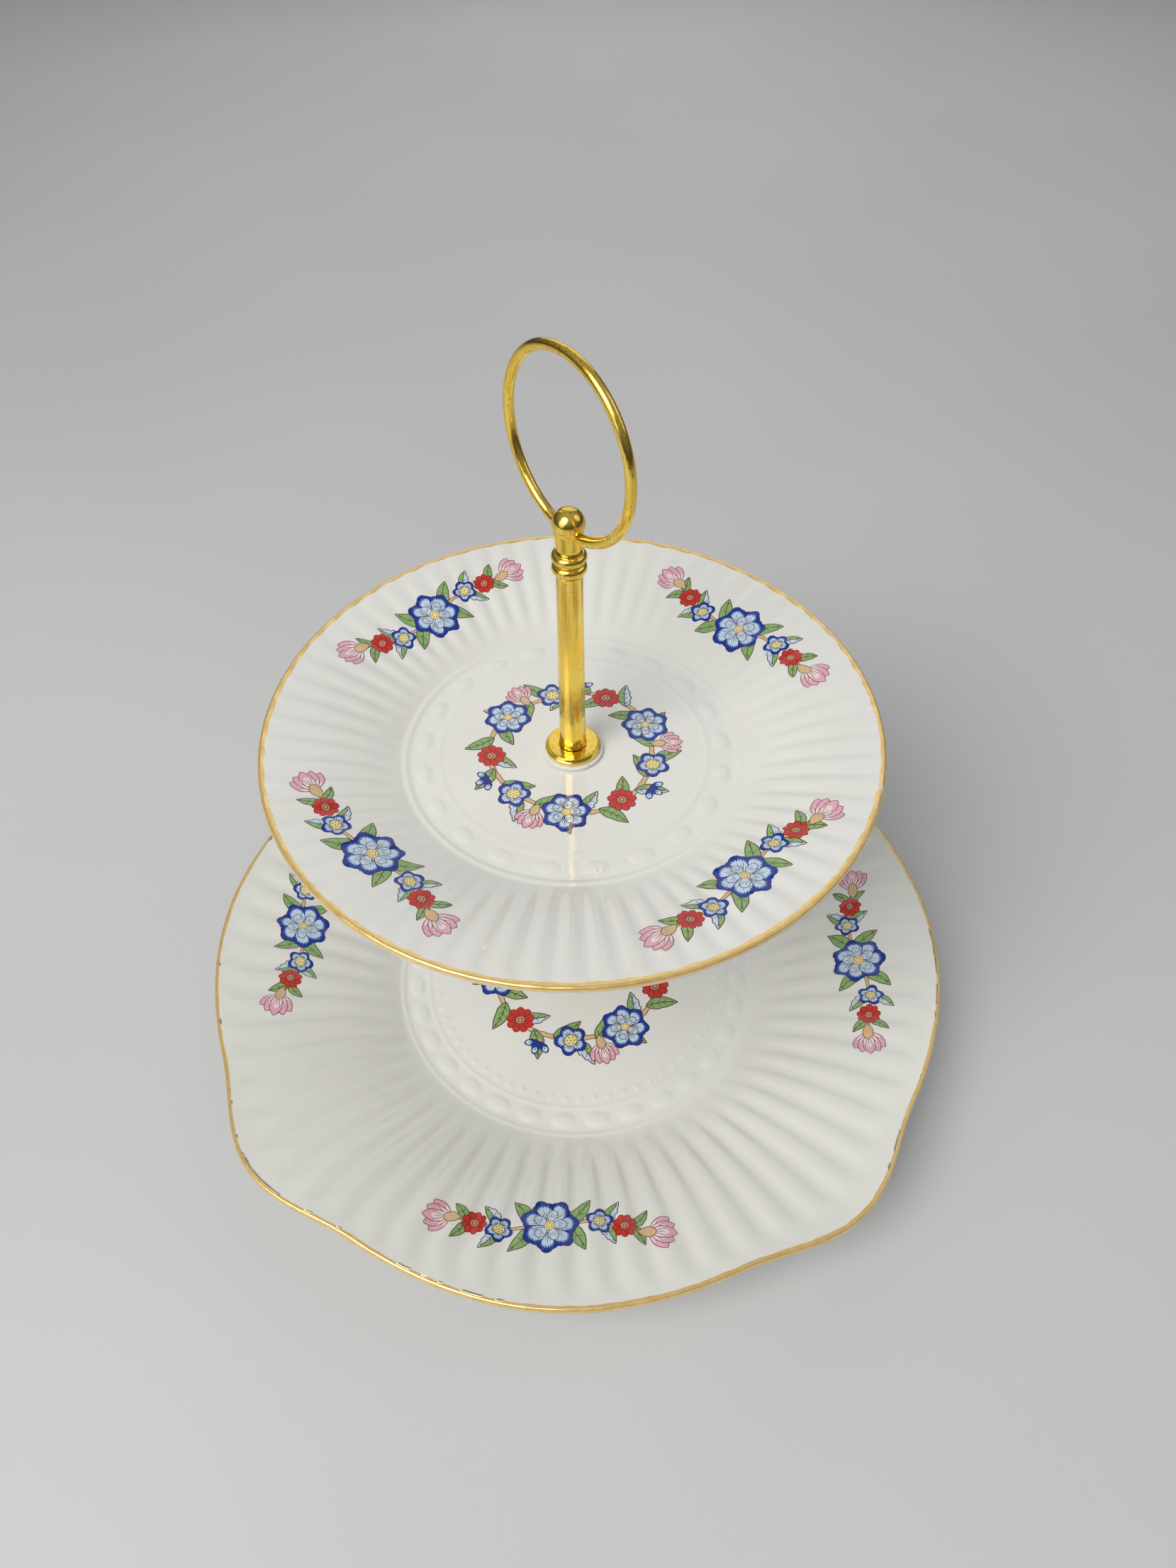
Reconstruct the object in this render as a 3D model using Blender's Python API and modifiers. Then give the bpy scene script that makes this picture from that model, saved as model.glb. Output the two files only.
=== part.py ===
"""Two-tier cake stand: two china plates clamped on a gilt post with a ring handle.

The stand is modelled in metres, +Z up. Its origin is on the post's axis, at the
plane that the lower plate's foot ring stands on. The lower plate's four wide lobes
face +X, -X, +Y and -Y, so its four narrow corners lie on the diagonals.

From the bottom up, the pieces on the axis are the base screw, its cup washer and
pad, the lower plate, a pad, a disc, the lower column, a disc, a pad, the upper
plate, a pad, a disc, the upper column, the finial and the ring handle. A threaded
stud passes through the upper plate and joins the two columns.
"""

import math

import bmesh
import bpy

MM = 0.001
GAP = 0.3                     # between pieces that rest on each other, in mm

# Plates, in mm
HOLE_RADIUS = 3.4
LOWER_WELL_TOP = 8.0
LOWER_WELL_RADIUS = 68.0      # out to the raised ring where the wall starts
LOWER_RIM_RADIUS = 131.9      # in the gentle dips between the lobes
LOWER_LOBE_RADIUS = 133.4     # in the middle of each wide lobe
LOWER_CORNER_RADIUS = 139.0   # at the tip of each narrow corner
LOWER_RIM_RISE = 27.4
LOWER_FOOT_RADIUS = 62.0
LOWER_FOOT_HEIGHT = 4.4
UPPER_WELL_TOP = 134.0
UPPER_WELL_RADIUS = 51.0
UPPER_RIM_RADIUS = 92.0
UPPER_RIM_RISE = 13.6
UPPER_FOOT_RADIUS = 45.0
UPPER_FOOT_HEIGHT = 3.4
WELL_THICKNESS = 3.6
RIM_THICKNESS = 2.4
FOOT_WIDTH = 3.0
WALL_STEPS = 6
PLATE_STEPS = 80

LOBE_HALF_ANGLE = math.radians(27)   # from a lobe's middle to the dip beside it
LOBE_PITCH = math.radians(90)

# Post, in mm
COLUMN_TOP_RADIUS = 3.55
COLUMN_LOW_RADIUS = 3.9
COLUMN_FLARE_RADIUS = 4.15
COLUMN_FLARE_HEIGHT = 1.6
UPPER_COLUMN_TOP = 201.3
TAPPED_DEPTH = 12.0
STUD_RADIUS = 2.0
SCREW_CLEARANCE = 0.3
STUD_LENGTH_IN_COLUMN = 10.0
BASE_SCREW_LENGTH_IN_COLUMN = 9.0
DISC_RADIUS = 8.35
DISC_THICKNESS = 1.8
PAD_RADIUS = 9.25
PAD_THICKNESS = 1.1
BASE_PAD_RADIUS = 9.0
BASE_PART_THICKNESS = 0.8
BASE_WASHER_RADIUS = 8.0
SCREW_HEAD_RADIUS = 4.8
SCREW_HEAD_HEIGHT = 1.4
SLOT_WIDTH = 1.0
SLOT_DEPTH = 0.7
POST_STEPS = 32

# Finial and ring handle, in mm
COLLAR_BEAD_RADIUS = 4.75
COLLAR_BEAD_HEIGHT = 3.2
NECK_LOW_RADIUS = 3.35
NECK_TOP_RADIUS = 3.8
BALL_RADIUS = 4.4
BALL_CENTRE_ABOVE_COLUMN = 15.1
RING_RADIUS = 23.75
RING_CENTRE_ABOVE_BALL = 21.2
WIRE_RADIUS = 1.4
RING_AZIMUTH = math.radians(-47.5)     # direction of the ring's flat, seen from above
RING_END_ANGLE = math.radians(5.5)   # each end stops this far from the ring's lowest point
RING_HOLE_START = math.radians(4.6)
RING_HOLE_END = math.radians(16)
RING_POINTS = 73

# Heights that follow from the sizes above, in mm
LOWER_PLATE_UNDERSIDE = LOWER_WELL_TOP - WELL_THICKNESS
UPPER_PLATE_UNDERSIDE = UPPER_WELL_TOP - WELL_THICKNESS
BASE_PAD_BOTTOM = LOWER_PLATE_UNDERSIDE - GAP - BASE_PART_THICKNESS
BASE_WASHER_BOTTOM = BASE_PAD_BOTTOM - GAP - BASE_PART_THICKNESS
SCREW_HEAD_TOP = BASE_WASHER_BOTTOM - GAP
LOWER_PAD_BOTTOM = LOWER_WELL_TOP + GAP
LOWER_DISC_BOTTOM = LOWER_PAD_BOTTOM + PAD_THICKNESS + GAP
LOWER_COLUMN_BOTTOM = LOWER_DISC_BOTTOM + DISC_THICKNESS + GAP
UNDER_PAD_BOTTOM = UPPER_PLATE_UNDERSIDE - GAP - PAD_THICKNESS
UNDER_DISC_BOTTOM = UNDER_PAD_BOTTOM - GAP - DISC_THICKNESS
LOWER_COLUMN_TOP = UNDER_DISC_BOTTOM - GAP
TOP_PAD_BOTTOM = UPPER_WELL_TOP + GAP
TOP_DISC_BOTTOM = TOP_PAD_BOTTOM + PAD_THICKNESS + GAP
UPPER_COLUMN_BOTTOM = TOP_DISC_BOTTOM + DISC_THICKNESS + GAP
FINIAL_BOTTOM = UPPER_COLUMN_TOP + GAP
BALL_CENTRE = UPPER_COLUMN_TOP + BALL_CENTRE_ABOVE_COLUMN
RING_CENTRE = BALL_CENTRE + RING_CENTRE_ABOVE_BALL


def clear_scene():
    for old in list(bpy.data.objects):
        bpy.data.objects.remove(old, do_unlink=True)


def new_collection(name):
    collection = bpy.data.collections.new(name)
    bpy.context.scene.collection.children.link(collection)
    return collection


def new_material(name, colour, metallic, roughness):
    material = bpy.data.materials.new(name)
    material.use_nodes = True
    shader = material.node_tree.nodes["Principled BSDF"]
    shader.inputs["Base Color"].default_value = (*colour, 1.0)
    shader.inputs["Metallic"].default_value = metallic
    shader.inputs["Roughness"].default_value = roughness
    material.diffuse_color = (*colour, 1.0)
    return material


def new_object(name, mesh, material, collection):
    mesh.materials.append(material)
    obj = bpy.data.objects.new(name, mesh)
    collection.objects.link(obj)
    return obj


def turned(name, profile, closed, steps, material, collection):
    """A solid of revolution. The profile runs down its outer side, top to bottom."""
    mesh = bpy.data.meshes.new(name)
    points = [(radius * MM, 0.0, height * MM) for radius, height in profile]
    edges = [(i, i + 1) for i in range(len(points) - 1)]
    if closed:
        edges.append((len(points) - 1, 0))
    mesh.from_pydata(points, edges, [])
    obj = new_object(name, mesh, material, collection)
    screw = obj.modifiers.new("turn", "SCREW")
    screw.axis = "Z"
    screw.angle = math.tau
    screw.steps = steps
    screw.render_steps = steps
    screw.use_merge_vertices = True
    screw.merge_threshold = 0.00001
    screw.use_smooth_shade = True
    return obj


def evaluated_mesh(obj):
    bpy.context.view_layer.update()
    graph = bpy.context.evaluated_depsgraph_get()
    return bpy.data.meshes.new_from_object(obj.evaluated_get(graph))


def as_mesh_object(obj, material, collection):
    """Swap an object for a plain mesh of what it evaluates to, with its seams welded."""
    name = obj.name
    mesh = evaluated_mesh(obj)
    work = bmesh.new()
    work.from_mesh(mesh)
    bmesh.ops.remove_doubles(work, verts=work.verts, dist=0.00001)
    work.to_mesh(mesh)
    work.free()
    mesh.materials.clear()
    matrix = obj.matrix_world.copy()
    bpy.data.objects.remove(obj, do_unlink=True)
    new = new_object(name, mesh, material, collection)
    new.matrix_world = matrix
    return new


def smooth(obj):
    obj.data.shade_smooth()
    obj.data.set_sharp_from_angle(angle=math.radians(35))


def mark_cutter(obj):
    obj.hide_render = True
    obj.display_type = "WIRE"


def cut(obj, cutter):
    boolean = obj.modifiers.new("cut_" + cutter.name, "BOOLEAN")
    boolean.operation = "DIFFERENCE"
    boolean.object = cutter


# Plates

def wall_height(share, rise):
    """Height of the plate's wall above its well: steep at the well, easier further out."""
    return rise * (share + 0.11 * math.sin(math.pi * share))


def plate_profile(well_top, well_radius, rim_radius, rise, foot_radius, foot_height):
    """Closed section of a plate, out along the top and back along the underside."""
    top = [(HOLE_RADIUS, well_top), (well_radius, well_top)]
    under = []
    for step in range(1, WALL_STEPS + 1):
        share = step / WALL_STEPS
        radius = well_radius + share * (rim_radius - well_radius)
        height = well_top + wall_height(share, rise)
        thickness = WELL_THICKNESS + share * (RIM_THICKNESS - WELL_THICKNESS)
        if step == WALL_STEPS:
            top.append((radius - 0.35 * thickness, height))
            top.append((radius, height - 0.35 * thickness))
            under.append((radius - 0.05 * thickness, height - 0.75 * thickness))
            under.append((radius - 0.45 * thickness, height - thickness))
        else:
            top.append((radius, height))
            under.append((radius + 0.25 * thickness, height - thickness))
    under.sort(reverse=True)
    underside = well_top - WELL_THICKNESS
    foot = [
        (foot_radius + FOOT_WIDTH, underside),
        (foot_radius + 0.7 * FOOT_WIDTH, underside - foot_height),
        (foot_radius, underside - foot_height),
        (foot_radius - 0.2 * FOOT_WIDTH, underside),
        (HOLE_RADIUS, underside),
    ]
    return top + under + foot


def lobed_rim_radius(angle):
    """Outline of the lower plate: four wide lobes, and a narrow corner between each two."""
    away = abs((angle + LOBE_PITCH / 2) % LOBE_PITCH - LOBE_PITCH / 2)
    if away < LOBE_HALF_ANGLE:
        swell = math.cos(math.pi / 2 * away / LOBE_HALF_ANGLE) ** 2
        return LOWER_RIM_RADIUS + (LOWER_LOBE_RADIUS - LOWER_RIM_RADIUS) * swell
    share = (away - LOBE_HALF_ANGLE) / (LOBE_PITCH / 2 - LOBE_HALF_ANGLE)
    swell = math.sin(math.pi / 2 * share) ** 2
    return LOWER_RIM_RADIUS + (LOWER_CORNER_RADIUS - LOWER_RIM_RADIUS) * swell


def make_lobed(mesh):
    """Pull the plate's wall out towards the lobed outline, more so nearer the rim."""
    for vertex in mesh.vertices:
        radius = math.hypot(vertex.co.x, vertex.co.y) / MM
        share = (radius - LOWER_WELL_RADIUS) / (LOWER_RIM_RADIUS - LOWER_WELL_RADIUS)
        if share <= 0:
            continue
        reach = lobed_rim_radius(math.atan2(vertex.co.y, vertex.co.x)) - LOWER_RIM_RADIUS
        scale = 1 + share ** 2 * reach / radius
        vertex.co.x *= scale
        vertex.co.y *= scale


def build_plates(china, collection):
    lower = turned("lower_plate",
                   plate_profile(LOWER_WELL_TOP, LOWER_WELL_RADIUS, LOWER_RIM_RADIUS,
                                 LOWER_RIM_RISE, LOWER_FOOT_RADIUS, LOWER_FOOT_HEIGHT),
                   True, PLATE_STEPS, china, collection)
    lower = as_mesh_object(lower, china, collection)
    make_lobed(lower.data)
    smooth(lower)
    turned("upper_plate",
           plate_profile(UPPER_WELL_TOP, UPPER_WELL_RADIUS, UPPER_RIM_RADIUS,
                         UPPER_RIM_RISE, UPPER_FOOT_RADIUS, UPPER_FOOT_HEIGHT),
           True, PLATE_STEPS, china, collection)


# Discs, pads and fasteners

def washer_profile(radius, hole, bottom, thickness, edge):
    """Flat ring whose upper and lower outer edges are eased by edge."""
    top = bottom + thickness
    return [(hole, top), (radius - edge, top), (radius, top - edge),
            (radius, bottom + 0.3 * edge), (radius - 0.3 * edge, bottom), (hole, bottom)]


def flange_profile(bottom, upright):
    """Gilt disc with a flat face towards the column and a step down to a wider foot."""
    hole = STUD_RADIUS + SCREW_CLEARANCE
    top = bottom + DISC_THICKNESS
    step = [(hole, top), (DISC_RADIUS - 0.9, top), (DISC_RADIUS - 0.4, top - 0.25),
            (DISC_RADIUS - 0.3, top - 0.8), (DISC_RADIUS, top - 1.05),
            (DISC_RADIUS, bottom + 0.2), (DISC_RADIUS - 0.2, bottom), (hole, bottom)]
    if upright:
        return step
    middle = bottom + top
    return [(radius, middle - height) for radius, height in reversed(step)]


def column_profile(bottom, top):
    """Slightly tapered column, flared at its foot, with a tapped hole in each end."""
    bore = STUD_RADIUS + SCREW_CLEARANCE
    return [
        (0.0, top - TAPPED_DEPTH), (bore, top - TAPPED_DEPTH), (bore, top),
        (COLUMN_TOP_RADIUS - 0.2, top), (COLUMN_TOP_RADIUS, top - 0.2),
        (COLUMN_LOW_RADIUS, bottom + COLUMN_FLARE_HEIGHT),
        (COLUMN_FLARE_RADIUS, bottom + 0.3), (COLUMN_FLARE_RADIUS - 0.2, bottom),
        (bore, bottom), (bore, bottom + TAPPED_DEPTH), (0.0, bottom + TAPPED_DEPTH),
    ]


def rod_profile(bottom, top):
    """Threaded rod as a plain cylinder of its outer diameter, chamfered at both ends."""
    return [(0.0, top), (STUD_RADIUS - 0.4, top), (STUD_RADIUS, top - 0.4),
            (STUD_RADIUS, bottom + 0.4), (STUD_RADIUS - 0.4, bottom), (0.0, bottom)]


def build_base_screw(steel, collection, cutters):
    head_bottom = SCREW_HEAD_TOP - SCREW_HEAD_HEIGHT
    shank_top = LOWER_COLUMN_BOTTOM + BASE_SCREW_LENGTH_IN_COLUMN
    profile = [(0.0, shank_top), (STUD_RADIUS - 0.4, shank_top),
               (STUD_RADIUS, shank_top - 0.4), (STUD_RADIUS, SCREW_HEAD_TOP),
               (SCREW_HEAD_RADIUS, SCREW_HEAD_TOP),
               (SCREW_HEAD_RADIUS, SCREW_HEAD_TOP - 0.4 * SCREW_HEAD_HEIGHT),
               (0.7 * SCREW_HEAD_RADIUS, head_bottom), (0.0, head_bottom)]
    screw = turned("base_screw", profile, False, POST_STEPS, steel, collection)
    bpy.ops.mesh.primitive_cube_add(size=1.0)
    slot = bpy.context.active_object
    slot.name = "screw_slot_cutter"
    slot.scale = (2.6 * SCREW_HEAD_RADIUS * MM, SLOT_WIDTH * MM, 2 * SLOT_DEPTH * MM)
    slot.location = (0.0, 0.0, head_bottom * MM)
    for old in list(slot.users_collection):
        old.objects.unlink(slot)
    cutters.objects.link(slot)
    mark_cutter(slot)
    cut(screw, slot)


def build_base_fixing(steel, plastic, collection, cutters):
    hole = STUD_RADIUS + SCREW_CLEARANCE
    build_base_screw(steel, collection, cutters)
    turned("base_washer",
           washer_profile(BASE_WASHER_RADIUS, hole, BASE_WASHER_BOTTOM,
                          BASE_PART_THICKNESS, 0.2),
           True, POST_STEPS, steel, collection)
    turned("base_pad",
           washer_profile(BASE_PAD_RADIUS, hole, BASE_PAD_BOTTOM,
                          BASE_PART_THICKNESS, 0.2),
           True, POST_STEPS, plastic, collection)


def build_clamps(gilt, plastic, collection):
    hole = STUD_RADIUS + SCREW_CLEARANCE
    pads = {"lower_top_pad": LOWER_PAD_BOTTOM, "upper_under_pad": UNDER_PAD_BOTTOM,
            "upper_top_pad": TOP_PAD_BOTTOM}
    for name, bottom in pads.items():
        turned(name, washer_profile(PAD_RADIUS, hole, bottom, PAD_THICKNESS, 0.35),
               True, POST_STEPS, plastic, collection)
    discs = {"lower_disc": (LOWER_DISC_BOTTOM, True),
             "upper_under_disc": (UNDER_DISC_BOTTOM, False),
             "upper_top_disc": (TOP_DISC_BOTTOM, True)}
    for name, (bottom, upright) in discs.items():
        turned(name, flange_profile(bottom, upright), True, POST_STEPS, gilt, collection)


def build_columns(gilt, steel, collection):
    turned("lower_column", column_profile(LOWER_COLUMN_BOTTOM, LOWER_COLUMN_TOP),
           False, POST_STEPS, gilt, collection)
    turned("upper_column", column_profile(UPPER_COLUMN_BOTTOM, UPPER_COLUMN_TOP),
           False, POST_STEPS, gilt, collection)
    turned("joining_stud",
           rod_profile(LOWER_COLUMN_TOP - STUD_LENGTH_IN_COLUMN,
                       UPPER_COLUMN_BOTTOM + STUD_LENGTH_IN_COLUMN),
           False, POST_STEPS, steel, collection)


# Finial and handle

def arc(centre_radius, centre_height, radius, start, end, count):
    """Points of a round moulding, as (radius, height), from start to end in degrees."""
    points = []
    for i in range(count):
        angle = math.radians(start + (end - start) * i / (count - 1))
        points.append((centre_radius + radius * math.cos(angle),
                       centre_height + radius * math.sin(angle)))
    return points


def finial_profile():
    """Ball, neck and two collar beads, with a threaded spigot down into the column."""
    bead = COLLAR_BEAD_HEIGHT / 2
    bead_centre = COLLAR_BEAD_RADIUS - bead
    low_bead = FINIAL_BOTTOM + bead
    high_bead = low_bead + COLLAR_BEAD_HEIGHT + 0.15
    neck_low = high_bead + bead + 0.1
    join = math.asin(NECK_TOP_RADIUS / BALL_RADIUS)
    neck_top = BALL_CENTRE - BALL_RADIUS * math.cos(join)
    ball = arc(0.0, BALL_CENTRE, BALL_RADIUS, 90, math.degrees(join) - 90, 12)
    ball[0] = (0.0, BALL_CENTRE + BALL_RADIUS)
    neck = [(0.5 * (NECK_TOP_RADIUS + NECK_LOW_RADIUS), 0.5 * (neck_top + neck_low)),
            (NECK_LOW_RADIUS, neck_low)]
    beads = arc(bead_centre, high_bead, bead, 75, -45, 6)
    beads += arc(bead_centre, low_bead, bead, 45, -75, 6)
    spigot_bottom = UPPER_COLUMN_TOP - 0.8 * TAPPED_DEPTH
    spigot = [(COLUMN_TOP_RADIUS - 0.4, FINIAL_BOTTOM), (STUD_RADIUS, FINIAL_BOTTOM),
              (STUD_RADIUS, spigot_bottom + 0.4), (STUD_RADIUS - 0.4, spigot_bottom),
              (0.0, spigot_bottom)]
    return ball + neck + beads + spigot


def ring_arc_curve(name, start, end, count, wire_radius):
    """Round wire bent to the handle's circle, from start to end past its lowest point."""
    curve = bpy.data.curves.new(name, "CURVE")
    curve.dimensions = "3D"
    curve.bevel_depth = wire_radius * MM
    curve.bevel_resolution = 2
    curve.use_fill_caps = True
    spline = curve.splines.new("POLY")
    spline.points.add(count - 1)
    for i, point in enumerate(spline.points):
        angle = start + (end - start) * i / (count - 1)
        along = RING_RADIUS * math.sin(angle)
        height = RING_CENTRE - RING_RADIUS * math.cos(angle)
        point.co = (along * math.cos(RING_AZIMUTH) * MM,
                    along * math.sin(RING_AZIMUTH) * MM, height * MM, 1.0)
    return curve


def wire_object(name, curve, material, collection):
    obj = bpy.data.objects.new(name, curve)
    collection.objects.link(obj)
    return as_mesh_object(obj, material, collection)


def build_handle(gilt, collection, cutters):
    finial = turned("finial", finial_profile(), False, POST_STEPS, gilt, collection)
    hole_radius = WIRE_RADIUS + GAP
    sides = {"ring_hole_cutter_a": 1, "ring_hole_cutter_b": -1}
    for name, side in sides.items():
        curve = ring_arc_curve(name, side * RING_HOLE_START, side * RING_HOLE_END, 5,
                               hole_radius)
        cutter = wire_object(name, curve, gilt, cutters)
        mark_cutter(cutter)
        cut(finial, cutter)
    curve = ring_arc_curve("ring_handle", RING_END_ANGLE, math.tau - RING_END_ANGLE,
                           RING_POINTS, WIRE_RADIUS)
    smooth(wire_object("ring_handle", curve, gilt, collection))


def main():
    clear_scene()
    stand = new_collection("cake_stand")
    cutters = new_collection("cutters")
    china = new_material("glazed_china", (0.78, 0.77, 0.72), 0.0, 0.12)
    gilt = new_material("gilt_metal", (0.83, 0.56, 0.13), 1.0, 0.18)
    steel = new_material("plated_steel", (0.72, 0.70, 0.66), 1.0, 0.35)
    plastic = new_material("white_plastic", (0.86, 0.85, 0.82), 0.0, 0.45)
    build_plates(china, stand)
    build_base_fixing(steel, plastic, stand, cutters)
    build_clamps(gilt, plastic, stand)
    build_columns(gilt, steel, stand)
    build_handle(gilt, stand, cutters)


main()
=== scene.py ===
"""Looks of a two-tier china cake stand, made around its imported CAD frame.

Two fluted china plates with gilt rims and printed flower sprays are clamped on a gilt
post with a ring handle. Lengths in this script are in mm unless a name says otherwise;
angles called turns or directions are in degrees, seen from above, from +X towards +Y.
"""

import math

import bpy
import numpy as np
from mathutils import Matrix, Vector
from mathutils.geometry import delaunay_2d_cdt


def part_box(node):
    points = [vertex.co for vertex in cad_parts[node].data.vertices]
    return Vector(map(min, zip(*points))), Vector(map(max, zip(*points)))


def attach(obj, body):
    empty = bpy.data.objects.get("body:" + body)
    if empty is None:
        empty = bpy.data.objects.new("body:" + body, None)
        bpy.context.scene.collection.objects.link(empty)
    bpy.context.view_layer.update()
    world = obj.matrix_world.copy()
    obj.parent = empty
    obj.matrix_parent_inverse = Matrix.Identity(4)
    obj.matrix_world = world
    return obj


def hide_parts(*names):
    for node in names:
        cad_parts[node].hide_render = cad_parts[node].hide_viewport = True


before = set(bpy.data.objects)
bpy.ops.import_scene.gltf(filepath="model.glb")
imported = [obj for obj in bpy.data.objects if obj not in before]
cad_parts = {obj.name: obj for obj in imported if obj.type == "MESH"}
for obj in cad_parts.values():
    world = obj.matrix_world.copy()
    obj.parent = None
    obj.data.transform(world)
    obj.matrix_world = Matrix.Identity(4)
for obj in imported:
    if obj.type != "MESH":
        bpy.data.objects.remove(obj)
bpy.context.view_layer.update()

MM = 0.001
GAP = 0.3                        # the CAD leaves this much room between touching pieces
TAU = math.tau


def low(node):
    """Height of a CAD node's underside."""
    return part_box(node)[0].z / MM


def high(node):
    """Height of a CAD node's top."""
    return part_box(node)[1].z / MM


# ---------------------------------------------------------------------------
# Meshes

def new_object(name, mesh, materials):
    """A smooth-shaded object in the scene, with its mesh's materials in slot order."""
    for material in materials:
        mesh.materials.append(material)
    mesh.shade_smooth()
    obj = bpy.data.objects.new(name, mesh)
    bpy.context.scene.collection.objects.link(obj)
    return obj


def grid_object(name, rings, slots, materials, closed=True):
    """A solid through rings of points: rings has the shape (ring, point, xyz).

    Each ring closes on itself. With closed the last ring joins the first one, and otherwise
    both are capped. slots gives the material of each band of faces between two rings."""
    count, around = rings.shape[:2]
    mesh = bpy.data.meshes.new(name)
    bands = count if closed else count - 1
    start = np.arange(bands)[:, None] * around
    first = start + np.arange(around)
    beside = start + (np.arange(around) + 1) % around
    total = count * around
    quads = np.stack([first, beside, (beside + around) % total, (first + around) % total], -1)
    faces = quads.reshape(-1, 4).tolist()
    slots = np.repeat(slots, around)
    if not closed:
        faces += [list(range(around))[::-1], list(range(total - around, total))]
        slots = np.append(slots, [slots[0], slots[-1]])
    mesh.from_pydata(rings.reshape(-1, 3) * MM, [], faces)
    mesh.polygons.foreach_set("material_index", slots.astype(np.int32))
    mesh.update()
    return new_object(name, mesh, materials)


def polar(radius, direction, height=0.0):
    """The point at a radius and a direction in degrees from the post's axis."""
    turn = math.radians(direction)
    return Vector((radius * math.cos(turn), radius * math.sin(turn), height))


def smooth_step(x):
    """0 below 0, 1 above 1 and a soft S between."""
    x = np.clip(x, 0.0, 1.0)
    return x * x * (3 - 2 * x)


def ripple(seed, *parts):
    """A smooth wobble: a sum of sines, one for each (values, waves, weight) part, with
    phases that come from the seed."""
    draw = np.random.default_rng(seed)
    total = 0.0
    for values, waves, weight in parts:
        total = total + weight * np.sin(values * waves + draw.uniform(0, TAU))
    return total


def eased(corners, radius, steps=4):
    """The outline through corners, each one rounded by about radius."""
    points = [np.array(corners[0], float)]
    for before, corner, after in zip(corners, corners[1:], corners[2:]):
        before, corner, after = (np.array(p, float) for p in (before, corner, after))
        reach_in = min(radius, 0.45 * np.linalg.norm(before - corner))
        reach_out = min(radius, 0.45 * np.linalg.norm(after - corner))
        start = corner + (before - corner) / np.linalg.norm(before - corner) * reach_in
        end = corner + (after - corner) / np.linalg.norm(after - corner) * reach_out
        for t in np.linspace(0, 1, steps + 1):
            points.append((1 - t) ** 2 * start + 2 * t * (1 - t) * corner + t * t * end)
    points.append(np.array(corners[-1], float))
    return np.array(points)


def subdivided(outline, longest):
    """The same outline with no step longer than longest."""
    points = [outline[0]]
    for start, end in zip(outline, outline[1:]):
        pieces = max(1, math.ceil(np.linalg.norm(end - start) / longest))
        for i in range(1, pieces + 1):
            points.append(start + (end - start) * i / pieces)
    return np.array(points)


def turned(name, outline, materials, steps, wobble=None, closed=True):
    """A solid of revolution from (radius, height) points that run down its outside.

    wobble(radius, height, angle) gives what is added to the radius."""
    angle = np.linspace(0, TAU, steps, endpoint=False)
    radius = np.repeat(outline[:, :1], steps, 1)
    height = np.repeat(outline[:, 1:], steps, 1)
    if wobble is not None:
        radius = radius + wobble(radius, height, angle[None, :])
    rings = np.stack([radius * np.cos(-angle), radius * np.sin(-angle), height], -1)
    bands = len(outline) if closed else len(outline) - 1
    return grid_object(name, rings, np.zeros(bands, int), materials, closed)


# ---------------------------------------------------------------------------
# Materials

def linear(*screen_values):
    """A colour given in screen values from 11 to 255, as light."""
    return [((value / 255 + 0.055) / 1.055) ** 2.4 for value in screen_values]


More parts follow.
